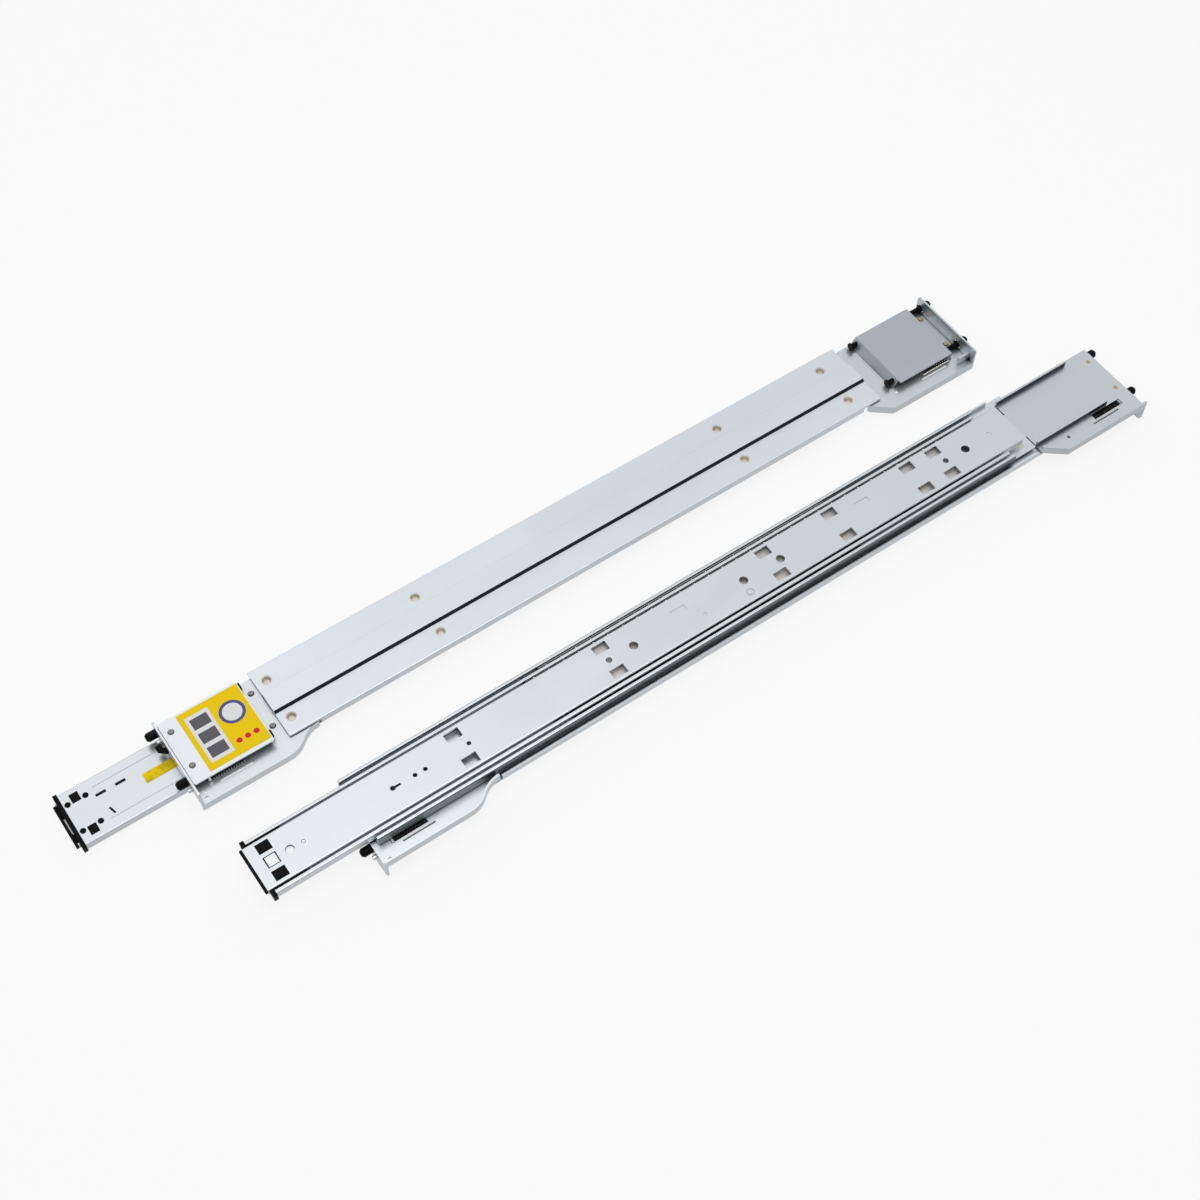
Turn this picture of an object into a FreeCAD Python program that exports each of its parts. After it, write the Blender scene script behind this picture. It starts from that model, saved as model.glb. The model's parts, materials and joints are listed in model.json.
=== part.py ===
"""A pair of three-section ball-bearing server rails with sprung pin brackets, laid side by side.

Each rail has an outer, a middle and an inner member that telescope along X, a front bracket fixed
to the outer member, and a rear bracket whose tongue slides between the outer member and the
support plate.  The pieces of the right-hand rail are modelled with x = 0 on the front face of the
front flange, y = 0 on the slide's centre line, and z = 0 on the face that meets the server.  The
left-hand rail is its mirror image, turned over onto the free edges of its flanges.
"""
import FreeCAD, Part
import math
import os
import re

import Sketcher

# ---------------------------------------------------------------- driving dimensions, millimetres
SIZES = {
    # how the two rails lie, and how far each slide is pulled out
    "slideOutRight": 86, "slideOutLeft": 78, "pairStepX": 76.5, "pairStepY": 109.1,
    # the rack interface
    "railSpan": 673, "rearTravel": 251, "rackPitch": 44.45, "pinHeight": 14.9, "flangeTop": 25,
    "rodRadius": 2, "neckRadius": 2.9, "capRadius": 3.3, "capNose": 1.6, "capGap": 0.3,
    "noseTaper": 1.6, "pinReach": 8,
    "tailRadius": 3.1, "tailDisc": 1.4, "pinClear": 0.3,
    "nubRadius": 1.6, "nubReach": 3, "nubDrop": 7.1,
    # sheet thicknesses
    "innerSheet": 1.2, "middleSheet": 1.2, "outerSheet": 1.4, "bracketSheet": 1.5,
    "coverSheet": 1.2, "cageSheet": 0.4, "labelSheet": 0.2, "tagSheet": 0.15,
    # slide section: half widths and heights above the server face
    "innerHalf": 17.8, "innerDepth": 5.4, "ballRadius": 1.3, "ballClear": 0.2, "stackGap": 0.2,
    "lipLevel": 0.6, "middleLip": 19.4, "outerLip": 24, "bendRadius": 1.1,
    "legSheet": 0.6, "pocketClear": 0.1, "innerBallHeight": 3.9, "outerBallHeight": 4.7,
    "innerLegFoot": 2, "outerLegFoot": 2.3,
    # slide lengths, from the closed position
    "outerStart": 4.5, "lipsGap": 119, "webGap": 96, "webInset": 2,
    "middleStart": 10, "middleShort": 53, "innerStart": 6, "innerShort": 33,
    "outerCageStart": 201, "outerCageLength": 249, "innerCageStart": 227, "innerCageLength": 373,
    "ballPitch": 12.4, "cageEnd": 6.7, "innerBallCount": 30, "outerBallCount": 20,
    # support plate
    "plateStart": 73.6, "plateGap": 83.5, "plateHalf": 30, "plateLift": 2.4, "hatHalf": 8.4,
    "hatRise": 2.6, "hatSlope": 1.5, "wallStart": 98, "wallSetback": 3, "wallDrop": 4, "edgeRadius": 0.8,
    # hollow rivets that hold the support plate off the outer member
    "spacerOne": 82, "spacerTwo": 202, "spacerThree": 469, "spacerFour": 568, "spacerRow": 17.3,
    "spacerRadius": 4.5, "spacerNeck": 3.8, "spacerBore": 3.1, "spacerFloor": 0.8,
    "spacerShank": 2, "rivetClear": 0.1,
    # small rivets
    "rivetShank": 1.5, "rivetHead": 2.4, "rivetCrown": 1.7, "rivetRise": 1,
    "rivetRow": 15.3, "rivetFront": 8.2, "rivetBack": 68.3, "rivetRear": 6,
    # brackets
    "baseNorth": 26.2, "wingReach": 42, "wingStraight": 66, "wingEnd": 96, "wingDrop": 5.5,
    "tongueHalf": 12.4, "tongueKeep": 60.5, "tongueLift": 0.2, "channelGap": 2,
    "channelHalf": 24, "channelDrop": 5, "channelEnd": 24, "shoulder": 81, "chamferRun": 15,
    "pivotReach": 68, "pivotRow": 30.5, "pivotBore": 1.4,
    "reliefRadius": 1.6, "reliefX": 5.5, "reliefY": 38.6, "flangeRadius": 3,
    "gussetRun": 11, "gussetRow": 35.5, "gussetRise": 8,
    "hookClear": 0.3, "hookSlotDepth": 2.6,
    # covers that slide with the pins
    "coverLift": 0.3, "coverSouth": 29.3, "coverNorth": 25.7, "coverStart": 2.5, "coverEnd": 63,
    "rearCoverGap": 12.6, "rearCoverRun": 56, "coverFoot": 0.3, "coverRadius": 1,
    "earInner": 18.2, "earOuter": 26.2, "tailReach": 1.5, "rearTailReach": 3.2, "coverSlope": 4.5,
    # springs in the brackets' windows
    "windowStart": 12, "windowLength": 28, "windowSouth": 29.6, "windowNorth": 24.6,
    "springRow": 27.1, "springRadius": 1.8, "springWire": 0.5, "springTurns": 13,
    "springLift": 0.1,
    "fingerStart": 0.6, "fingerSheet": 1.5, "fingerSouth": 29.1, "fingerNorth": 25.1,
    "ribRow": 32, "ribWidth": 1.4, "ribStart": 19, "ribLength": 25,
    # catch beside the front pins
    "hookInner": 4, "hookOuter": 13, "hookSheet": 1.4, "hookTip": 6, "hookStem": 5,
    "hookTail": 19, "hookPost": 2,
    # label and tag
    "labelStart": 16, "labelInset": 0.6, "labelSouth": 26.5, "labelNorth": 23.9,
    "tagStart": 54, "tagLength": 22, "tagHalf": 4,
    # end pieces of the slide
    "bumperSheet": 2, "frameSheet": 3, "bumperDepth": 3.4, "bumperFloor": 1.2,
    "padStart": 8, "padLength": 9.5, "padInner": 7.4, "padOuter": 14.9, "padClear": 0.15,
    "leverHalf": 3.4, "tabHalf": 3.8, "tabClear": 0.6, "tabInset": 1, "leverSheet": 0.8,
    "leverDrop": 0.3, "leverRoll": 0.6, "tabSkin": 0.1, "leverPivot": 36, "leverTail": 3,
    "leverPin": 1.1,
    "frameHalf": 23.2, "frameTop": 8, "frameFoot": 0.3, "guideLength": 24, "guideClear": 0.3,
    "clipStart": 3, "clipPitch": 6.5, "clipRow": 11.5, "clipBig": 14, "clipDot": 2,
    "clipWide": 6, "clipTall": 7, "clipProud": 0.4, "clipSheet": 1, "clipInner": 9.2,
    "clipOuter": 16.2, "clipMargin": 3.4,
    # cut-outs of the middle member
    "slotFirst": 21.4, "slotSecond": 35.9, "slotRow": 7.2, "slotRun": 7.5, "slotWide": 2.2,
    "slantAt": 26, "slantRow": 8.7, "slantRun": 1.6, "slantTall": 6,
    "grooveRow": 14, "grooveWide": 0.9, "grooveDeep": 0.3,
    # cut-outs of the inner member, from its front end
    "hookOne": 157.3, "hookTwo": 277.7, "hookThree": 418.9, "hookFour": 479, "hookFive": 552.1,
    "hookSix": 577, "hookRow": 11.2, "hookRun": 11.5, "hookTall": 7.5,
    "holeRadius": 3.3, "holeOne": 26, "holeTwo": 298, "holeThree": 393.2, "holeFour": 426,
    "holeFive": 599, "dotRadius": 1.6, "dotOne": 120.8, "dotTwo": 128.8, "dotThree": 163,
    "keyRadius": 1.9, "keyAt": 103.6, "keyRun": 4.1, "keyWide": 1.7,
    "smallRadius": 2.3, "smallOne": 277.2, "smallTwo": 580,
    "dimpleDeep": 0.4, "ovalOne": 334, "ovalTwo": 499, "ovalRun": 12, "ovalTall": 4.4,
    "ovalRow": 5.6, "ringAt": 391.2, "ringRow": 10.6, "ringRadius": 3, "ringWidth": 0.8,
    "pipAt": 354, "pipRow": 7.4, "pipRadius": 1.3, "endDimple": 621.8, "endRadius": 2.6,
}

# ---------------------------------------------------------------- places worked out from them
RULES = {
    "middleInner": "innerHalf + 2 * (ballRadius + ballClear)",
    "middleHalf": "middleInner + middleSheet",
    "outerInner": "middleHalf + 2 * (ballRadius + ballClear)",
    "outerHalf": "outerInner + outerSheet",
    "innerBallRow": "innerHalf + ballRadius + ballClear",
    "outerBallRow": "middleHalf + ballRadius + ballClear",
    "innerCageTop": "innerDepth + stackGap + cageSheet",
    "middleTop": "innerCageTop + stackGap + middleSheet",
    "outerCageTop": "middleTop + stackGap + cageSheet",
    "outerTop": "outerCageTop + stackGap + outerSheet",
    "baseTop": "outerTop + bracketSheet",
    "plateBottom": "outerTop + plateLift",
    "plateTop": "plateBottom + bracketSheet",
    "tongueBottom": "outerTop + tongueLift",
    "tongueTop": "tongueBottom + bracketSheet",
    "lipsEnd": "railSpan - lipsGap",
    "webEnd": "railSpan - webGap",
    "plateEnd": "railSpan - plateGap",
    "wallEnd": "webEnd - wallSetback",
    "channelStart": "webEnd + channelGap",
    "shoulderX": "railSpan - shoulder",
    "tongueStart": "plateEnd - rearTravel - tongueKeep",
    "middleLength": "railSpan - middleShort",
    "innerLength": "railSpan - innerShort",
    "pinRow": "rackPitch / 2",
    "coverBottom": "pinHeight + rodRadius + coverLift",
    "coverTop": "coverBottom + coverSheet",
    "rearCoverEnd": "railSpan - rearCoverGap",
    "rearCoverStart": "rearCoverEnd - rearCoverRun",
    "wingFoot": "outerTop - wingDrop",
    "rearWingFoot": "tongueBottom - wingDrop",
    "springLength": "windowLength - fingerStart - fingerSheet",
    "springLevel": "outerTop + springLift + springRadius + springWire",
    "railX": "-(innerStart - bumperSheet - slideOutRight + pairStepX + railSpan + pinReach) / 2",
    "railY": "-(plateHalf - pairStepY - wingReach) / 2",
    # the S-shaped edge of the front wing: two equal arcs, its rise and its run
    "sweepRun": "wingEnd - wingStraight",
    "sweepRise": "wingReach - plateHalf",
    "sweepRadius": "(sweepRun ^ 2 + sweepRise ^ 2) / (4 * sweepRise)",
    "sweepSin": "2 * sweepRun * sweepRise / (sweepRun ^ 2 + sweepRise ^ 2)",
    "sweepCos": "(sweepRun ^ 2 - sweepRise ^ 2) / (sweepRun ^ 2 + sweepRise ^ 2)",
    "sweepMidX": "wingStraight + sweepRun / 2",
    "sweepMidY": "sweepRise / 2 - wingReach",
    # the straight chamfer of the rear wing
    "chamferX": "channelStart + chamferRun",
    "chamferSlant": "sqrt(chamferRun ^ 2 + sweepRise ^ 2)",
    "chamferLift": "bracketSheet * chamferSlant / chamferRun",
    "chamferShift": "bracketSheet * (chamferSlant - chamferRun) / sweepRise",
}

doc = FreeCAD.newDocument("ServerRailPair")
sheet = doc.addObject("Spreadsheet::Sheet", "Sizes")
for row, (alias, size) in enumerate(SIZES.items(), start=1):
    sheet.set(f"A{row}", alias)
    sheet.set(f"B{row}", str(size))
    sheet.setAlias(f"B{row}", alias)
doc.recompute()


# ---------------------------------------------------------------- formulas
def expand(formula):
    """A formula in plain names, with each rule written out and each size read from the sheet."""
    def word(found):
        name = found.group(0)
        if name in RULES:
            return f"({expand(RULES[name])})"
        return f"Sizes.{name}" if name in SIZES else name
    return re.sub(r"[A-Za-z]\w*", word, str(formula))


def number(formula):
    return float(sheet.evalExpression(expand(formula)))


def bind(thing, prop, formula):
    thing.setExpression(prop, expand(formula))


# ---------------------------------------------------------------- sketches
def square_corner(before, corner, after):
    """Swap a rounded square corner for the two ends of its arc."""
    u, v, radius = corner
    here = (number(u), number(v))
    into = [here[k] - number(before[k]) for k in (0, 1)]
    away = [number(after[k]) - here[k] for k in (0, 1)]
    step = [0 if abs(part) < 1e-6 else math.copysign(1, part) for part in into + away]
    side = step[0] * step[3] - step[1] * step[2]
    first = (f"({u}) - {step[0]:.0f} * ({radius})", f"({v}) - {step[1]:.0f} * ({radius})",
             radius, side)
    second = (f"({u}) + {step[2]:.0f} * ({radius})", f"({v}) + {step[3]:.0f} * ({radius})")
    return [first, second]


def arc_between(start, end, radius, side):
    """An arc from start to end; side is +1 when it turns left and -1 when it turns right."""
    chord = end - start
    rise = math.sqrt(max(radius ** 2 - chord.Length ** 2 / 4, 0))
    normal = FreeCAD.Vector(-chord.y, chord.x, 0).normalize()
    centre = (start + end) * 0.5 + normal * (rise * side)
    ends = (start, end) if side > 0 else (end, start)
    angles = [math.atan2(p.y - centre.y, p.x - centre.x) for p in ends]
    if angles[1] < angles[0]:
        angles[1] += 2 * math.pi
    return Part.ArcOfCircle(Part.Circle(centre, FreeCAD.Vector(0, 0, 1), radius), *angles)


def tie(sketch, kind, where, formula):
    """Hold one coordinate or radius of the sketch to a formula."""
    index = sketch.addConstraint(Sketcher.Constraint(kind, *where, number(formula)))
    sketch.renameConstraint(index, f"c{index}")
    bind(sketch, f"Constraints.c{index}", formula)


def add_circle(sketch, u, v, radius):
    centre = FreeCAD.Vector(number(u), number(v), 0)
    circle = Part.Circle(centre, FreeCAD.Vector(0, 0, 1), number(radius))
    index = sketch.addGeometry(circle, False)
    tie(sketch, "Radius", (index,), radius)
    tie(sketch, "DistanceX", (index, 3), u)
    tie(sketch, "DistanceY", (index, 3), v)


def add_loop(sketch, corners):
    """A closed outline: (u, v) corners, (u, v, r) rounded ones, (u, v, r, side) before an arc."""
    points = []
    for k, corner in enumerate(corners):
        if len(corner) == 3:
            points += square_corner(corners[k - 1], corner, corners[(k + 1) % len(corners)])
        else:
            points.append(corner)
    spots = [FreeCAD.Vector(number(p[0]), number(p[1]), 0) for p in points]
    edges = []
    for k, point in enumerate(points):
        start, end = spots[k], spots[(k + 1) % len(points)]
        if len(point) == 4:
            arc = arc_between(start, end, number(point[2]), point[3])
            ends = (1, 2) if point[3] > 0 else (2, 1)
            edges.append((sketch.addGeometry(arc, False), ends))
        else:
            edges.append((sketch.addGeometry(Part.LineSegment(start, end), False), (1, 2)))
    for k, (edge, ends) in enumerate(edges):
        following, next_ends = edges[(k + 1) % len(edges)]
        join = Sketcher.Constraint("Coincident", edge, ends[1], following, next_ends[0])
        sketch.addConstraint(join)
        tie(sketch, "DistanceX", (edge, ends[0]), points[k][0])
        tie(sketch, "DistanceY", (edge, ends[0]), points[k][1])
        if len(points[k]) == 4:
            tie(sketch, "Radius", (edge,), points[k][2])


def draw(body, plane, level, loops):
    """A sketch on one of the body's own planes, lifted to a level along the plane's normal."""
    sketch = body.newObject("Sketcher::SketchObject", f"{body.Name}_sketch")
    role = f"{plane}_Plane"
    origin_plane = next(f for f in body.Origin.OriginFeatures if f.Role == role)
    sketch.AttachmentSupport = (origin_plane, [""])
    sketch.MapMode = "FlatFace"
    bind(sketch, "AttachmentOffset.Base.z", level)
    for loop in loops:
        if loop[0] == "circle":
            add_circle(sketch, *loop[1:])
        else:
            add_loop(sketch, loop)
    return sketch


def box(x0, x1, y0, y1):
    return [(x0, y0), (x1, y0), (x1, y1), (x0, y1)]


def both_sides(u0, u1, v0, v1):
    """Two boxes, one each side of the centre line."""
    return [box(u0, u1, v0, v1), box(u0, u1, f"-({v1})", f"-({v0})")]


# ---------------------------------------------------------------- features
def start(label):
    body = doc.addObject("PartDesign::Body", f"{label}_body")
    body.AllowCompound = True
    return body


def pad(body, plane, level, length, *loops):
    sketch = draw(body, plane, level, loops)
    feature = body.newObject("PartDesign::Pad", f"{body.Name}_pad")
    feature.Profile = sketch
    bind(feature, "Length", length)
    return feature


def cut(body, plane, level, depth, *loops):
    """Cut equally to both sides of a level, so that the direction can't be wrong."""
    sketch = draw(body, plane, level, loops)
    feature = body.newObject("PartDesign::Pocket", f"{body.Name}_cut")
    feature.Profile = sketch
    feature.SideType = "Symmetric"
    bind(feature, "Length", depth)
    return feature


def axis(body, role):
    return (next(f for f in body.Origin.OriginFeatures if f.Role == role), [""])


def repeat_along_x(body, feature, count, pitch):
    pattern = body.newObject("PartDesign::LinearPattern", f"{body.Name}_row")
    pattern.Originals = [feature]
    pattern.Direction = axis(body, "X_Axis")
    bind(pattern, "Length", f"({pitch}) * ({count} - 1)")
    bind(pattern, "Occurrences", count)
    body.Tip = pattern
    return pattern


def group(label, pieces):
    compound = doc.addObject("Part::Compound", f"{label}_group")
    compound.Links = pieces
    return compound


def fuse(name, pieces):
    joined = doc.addObject("Part::MultiFuse", name)
    joined.Shapes = pieces
    return joined


def round_bar(name, radius, length, x, y, z, along="z", tip=None):
    """A cylinder, or a cone when a tip radius is given, that starts at (x, y, z)."""
    bar = doc.addObject("Part::Cone" if tip else "Part::Cylinder", name)
    bind(bar, "Height", length)
    bind(bar, "Radius1" if tip else "Radius", radius)
    if tip:
        bind(bar, "Radius2", tip)
    turn = {"z": (0, 0, 1, 0), "x": (0, 1, 0, 90), "-x": (0, 1, 0, -90)}[along]
    bar.Placement = FreeCAD.Placement(FreeCAD.Vector(), FreeCAD.Rotation(
        FreeCAD.Vector(*turn[:3]), turn[3]))
    for letter, formula in zip("xyz", (x, y, z)):
        bind(bar, f"Placement.Base.{letter}", formula)
    return bar


# ---------------------------------------------------------------- nodes and their mirror images
NODES = []


def finish(label, thing, slide="0"):
    """Name a right-hand piece, set it in place, and make the left-hand one from it."""
    thing.Label = f"{label}_right"
    bind(thing, "Placement.Base.x", f"railX - ({slide}) * slideOutRight")
    bind(thing, "Placement.Base.y", "railY")
    twin = doc.addObject("Part::Mirroring", f"{label}_mirror")
    twin.Source = thing
    twin.Normal = FreeCAD.Vector(0, 0, 1)
    bind(twin, "Base.z", "flangeTop / 2")
    twin.Label = f"{label}_left"
    bind(twin, "Placement.Base.x", f"pairStepX + ({slide}) * (slideOutRight - slideOutLeft)")
    bind(twin, "Placement.Base.y", "-pairStepY")
    NODES.extend([thing, twin])


# ---------------------------------------------------------------- the three members
def channel(half, sheet_size, lip, foot, top):
    """A C section open towards the server, with lips that turn in under the balls."""
    wall = f"{half} - {sheet_size}"
    ledge = f"{foot} + {sheet_size}"
    under = f"{top} - {sheet_size}"
    return [(lip, foot), (half, foot, "bendRadius"), (half, top, "bendRadius"),
            (f"-({half})", top, "bendRadius"), (f"-({half})", foot, "bendRadius"),
            (f"-{lip}", foot), (f"-{lip}", ledge), (f"-({wall})", ledge), (f"-({wall})", under),
            (wall, under), (wall, ledge), (lip, ledge)]


def spacer_spots():
    spots = ("spacerOne", "spacerTwo", "spacerThree", "spacerFour")
    return [(x, f"{side}spacerRow") for x in spots for side in ("", "-")]


def rivet_pair(x):
    return [(x, f"{side}rivetRow") for side in ("", "-")]


def outer_member():
    body = start("outer_member")
    section = channel("outerHalf", "outerSheet", "outerLip", "lipLevel", "outerTop")
    pad(body, "YZ", "outerStart", "lipsEnd - outerStart", section)
    web = "outerHalf - webInset"
    pad(body, "XY", "outerTop - outerSheet", "outerSheet",
        box("lipsEnd", "webEnd", f"-({web})", web))
    holes = [("circle", x, y, "spacerShank + rivetClear") for x, y in spacer_spots()]
    holes += [("circle", x, y, "rivetShank + rivetClear") for x, y in rivet_pair("rivetBack")]
    cut(body, "XY", "outerTop", "4 * outerSheet", *holes)
    finish("outer_member", body)


def middle_member():
    body = start("middle_member")
    section = channel("middleHalf", "middleSheet", "middleLip", "lipLevel", "middleTop")
    pad(body, "YZ", "middleStart", "middleLength", section)
    end = "middleStart + clipStart"
    dots = [("circle", x, f"{side}clipRow", "clipDot + padClear")
            for x in (end, f"{end} + 2 * clipPitch") for side in ("", "-")]
    big = both_sides(f"{end} + clipPitch - clipWide / 2 - padClear",
                     f"{end} + clipPitch + clipWide / 2 + padClear",
                     "clipBig - clipTall / 2 - padClear", "clipBig + clipTall / 2 + padClear")
    slots = [box(f"middleStart + {at}", f"middleStart + {at} + slotRun",
                 "slotRow - slotWide / 2", "slotRow + slotWide / 2")
             for at in ("slotFirst", "slotSecond")]
    slant = [("middleStart + slantAt", "-slantRow - slantTall / 2"),
             ("middleStart + slantAt + slantRun", "-slantRow - slantTall / 2"),
             ("middleStart + slantAt", "-slantRow + slantTall / 2"),
             ("middleStart + slantAt - slantRun", "-slantRow + slantTall / 2")]
    cut(body, "XY", "middleTop", "4 * middleSheet", *dots, *big, *slots, slant)
    finish_at = "middleStart + middleLength + grooveWide"
    grooves = both_sides("middleStart + clipStart + 3 * clipPitch", finish_at,
                         "grooveRow - grooveWide / 2", "grooveRow + grooveWide / 2")
    cut(body, "XY", "middleTop", "2 * grooveDeep", *grooves)
    finish("middle_member", body, "1")


def inner_member():
    body = start("inner_member")
    wall = "innerHalf - innerSheet"
    section = [("-innerHalf", "0", "bendRadius"), ("innerHalf", "0", "bendRadius"),
               ("innerHalf", "innerDepth"), (wall, "innerDepth"), (wall, "innerSheet"),
               (f"-({wall})", "innerSheet"), (f"-({wall})", "innerDepth"),
               ("-innerHalf", "innerDepth")]
    pad(body, "YZ", "innerStart", "innerLength", section)
    loops = []
    for at in ("hookOne", "hookTwo", "hookThree", "hookFour", "hookFive", "hookSix"):
        loops += both_sides(f"innerStart + {at} - hookRun / 2", f"innerStart + {at} + hookRun / 2",
                            "hookRow - hookTall / 2", "hookRow + hookTall / 2")
    loops += both_sides("innerStart + padStart - padClear",
                        "innerStart + padStart + padLength + padClear",
                        "padInner - padClear", "padOuter + padClear")
    tab = "tabHalf + tabClear"
    loops.append(box("innerStart + padStart", "innerStart + padStart + padLength",
                     f"-({tab})", tab))
    for at in ("holeOne", "holeTwo", "holeThree", "holeFour", "holeFive"):
        loops.append(("circle", f"innerStart + {at}", "0", "holeRadius"))
    for at in ("dotOne", "dotTwo", "dotThree"):
        loops.append(("circle", f"innerStart + {at}", "0", "dotRadius"))
    for at in ("smallOne", "smallTwo"):
        loops.append(("circle", f"innerStart + {at}", "0", "smallRadius"))
    loops.append(("circle", "innerStart + leverPivot", "0", "leverPin + tabClear / 2"))
    loops.append(("circle", "innerStart + keyAt", "0", "keyRadius"))
    cut(body, "XY", "0", "3 * innerSheet", *loops)
    cut(body, "XY", "0", "3 * innerSheet",
        box("innerStart + keyAt", "innerStart + keyAt + keyRun + keyRadius",
            "-keyWide / 2", "keyWide / 2"))
    dimples = [box(f"innerStart + {at}", f"innerStart + {at} + ovalRun",
                   "ovalRow - ovalTall / 2", "ovalRow + ovalTall / 2")
               for at in ("ovalOne", "ovalTwo")]
    dimples.append(("circle", "innerStart + ringAt", "-ringRow", "ringRadius"))
    dimples.append(("circle", "innerStart + ringAt", "-ringRow", "ringRadius - ringWidth"))
    dimples.append(("circle", "innerStart + pipAt", "-pipRow", "pipRadius"))
    dimples.append(("circle", "innerStart + endDimple", "0", "endRadius"))
    cut(body, "XY", "0", "2 * dimpleDeep", *dimples)
    finish("inner_member", body, "1")


# ---------------------------------------------------------------- ball cages
def cage(label, begin, length, row, foot, top, ball_height, count, slide):
    """A C-shaped strip whose legs hold a row of balls each side, and the balls themselves."""
    body = start(f"{label}_cage")
    out = f"{row} + legSheet / 2"
    inside = f"{row} - legSheet / 2"
    under = f"{top} - cageSheet"
    section = [(f"-({out})", foot), (f"-({inside})", foot), (f"-({inside})", under),
               (inside, under), (inside, foot), (out, foot), (out, top), (f"-({out})", top)]
    pad(body, "YZ", begin, length, section)
    first = f"{begin} + cageEnd"
    pocket = cut(body, "XZ", "0", f"4 * ({row})",
                 ("circle", first, ball_height, "ballRadius + pocketClear"))
    repeat_along_x(body, pocket, count, "ballPitch")
    finish(f"{label}_cage", body, slide)

    balls = start(f"{label}_balls")
    ball = balls.newObject("PartDesign::AdditiveSphere", f"{label}_ball")
    ball.AttachmentSupport = axis(balls, "XY_Plane")
    ball.MapMode = "FlatFace"
    bind(ball, "Radius", "ballRadius")
    bind(ball, "AttachmentOffset.Base.x", first)
    bind(ball, "AttachmentOffset.Base.y", row)
    bind(ball, "AttachmentOffset.Base.z", ball_height)
    both = balls.newObject("PartDesign::MultiTransform", f"{label}_rows")
    both.Originals = [ball]
    along = balls.newObject("PartDesign::LinearPattern", f"{label}_along")
    along.Direction = axis(balls, "X_Axis")
    bind(along, "Length", f"ballPitch * ({count} - 1)")
    bind(along, "Occurrences", count)
    across = balls.newObject("PartDesign::Mirrored", f"{label}_across")
    across.MirrorPlane = axis(balls, "XZ_Plane")
    both.Transformations = [along, across]
    balls.Tip = both
    finish(f"{label}_balls", balls, slide)


def cages():
    cage("inner", "innerCageStart", "innerCageLength", "innerBallRow", "innerLegFoot",
         "innerCageTop", "innerBallHeight", "innerBallCount", "1")
    cage("outer", "outerCageStart", "outerCageLength", "outerBallRow", "outerLegFoot",
         "outerCageTop", "outerBallHeight", "outerBallCount", "0.5")


# ---------------------------------------------------------------- plastic ends and the catch
def inner_bumper():
    """End cap of the inner member, with two pads that fill the windows behind it."""
    body = start("inner_bumper")
    pad(body, "YZ", "innerStart - bumperSheet", "bumperSheet",
        [("-innerHalf", "0", "bendRadius"), ("innerHalf", "0", "bendRadius"),
         ("innerHalf", "bumperDepth"), ("-innerHalf", "bumperDepth")])
    pad(body, "XY", "innerSheet", "bumperFloor",
        *both_sides("innerStart", "innerStart + padStart + padLength", "padInner", "padOuter"))
    pad(body, "XY", "0", "innerSheet",
        *both_sides("innerStart + padStart", "innerStart + padStart + padLength",
                    "padInner", "padOuter"))
    finish("inner_bumper", body, "1")


def release_lever():
    """Spring-steel catch whose tab rises between the pads; it rocks on a roll by its pin."""
    body = start("release_lever")
    top = "innerSheet + leverDrop + leverSheet"
    pad(body, "XY", "innerSheet + leverDrop", "leverSheet",
        box("innerStart + padStart + tabInset", "innerStart + leverPivot + leverTail",
            "-leverHalf", "leverHalf"))
    pad(body, "XY", "tabSkin", f"{top} - tabSkin",
        box("innerStart + padStart + tabInset", "innerStart + padStart + padLength - tabInset",
            "-tabHalf", "tabHalf"))
    pad(body, "XY", "tabSkin", f"{top} - tabSkin",
        ("circle", "innerStart + leverPivot", "0", "leverPin"))
    pad(body, "XZ", "-leverHalf", "2 * leverHalf",
        ("circle", "innerStart + leverPivot", f"{top} - leverSheet / 2", "leverRoll"))
    finish("release_lever", body, "1")


def middle_bumper():
    """Open end frame of the middle member, with two guides along the inner member."""
    body = start("middle_bumper")
    opening = "innerHalf + guideClear"
    under = "middleTop - middleSheet"
    frame = [(opening, "frameFoot"), ("frameHalf", "frameFoot", "bendRadius"),
             ("frameHalf", "frameTop", "bendRadius"), ("-frameHalf", "frameTop", "bendRadius"),
             ("-frameHalf", "frameFoot", "bendRadius"), (f"-({opening})", "frameFoot"),
             (f"-({opening})", under), (opening, under)]
    pad(body, "YZ", "middleStart - frameSheet", "frameSheet", frame)
    side = "middleLip - stackGap"
    pad(body, "XY", "frameFoot", f"{under} - frameFoot",
        *both_sides("middleStart", "middleStart + guideLength", opening, side))
    finish("middle_bumper", body, "1")


def middle_clips():
    """Two plastic clips: a plate inside the web with two round studs and a block through it."""
    body = start("middle_clips")
    end = "middleStart + clipStart"
    under = "middleTop - middleSheet"
    pad(body, "XY", f"{under} - clipSheet", "clipSheet",
        *both_sides(f"{end} - clipMargin / 2", f"{end} + 2 * clipPitch + clipMargin",
                    "clipInner", "clipOuter"))
    studs = [("circle", x, f"{side}clipRow", "clipDot")
             for x in (end, f"{end} + 2 * clipPitch") for side in ("", "-")]
    height = "middleSheet + clipProud"
    pad(body, "XY", under, height, *studs)
    pad(body, "XY", under, height,
        *both_sides(f"{end} + clipPitch - clipWide / 2", f"{end} + clipPitch + clipWide / 2",
                    "clipBig - clipTall / 2", "clipBig + clipTall / 2"))
    finish("middle_clips", body, "1")


def middle_tag():
    body = start("middle_tag")
    pad(body, "XY", "middleTop", "tagSheet",
        box("middleStart + tagStart", "middleStart + tagStart + tagLength",
            "-tagHalf", "tagHalf"))
    finish("middle_tag", body, "1")


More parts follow.
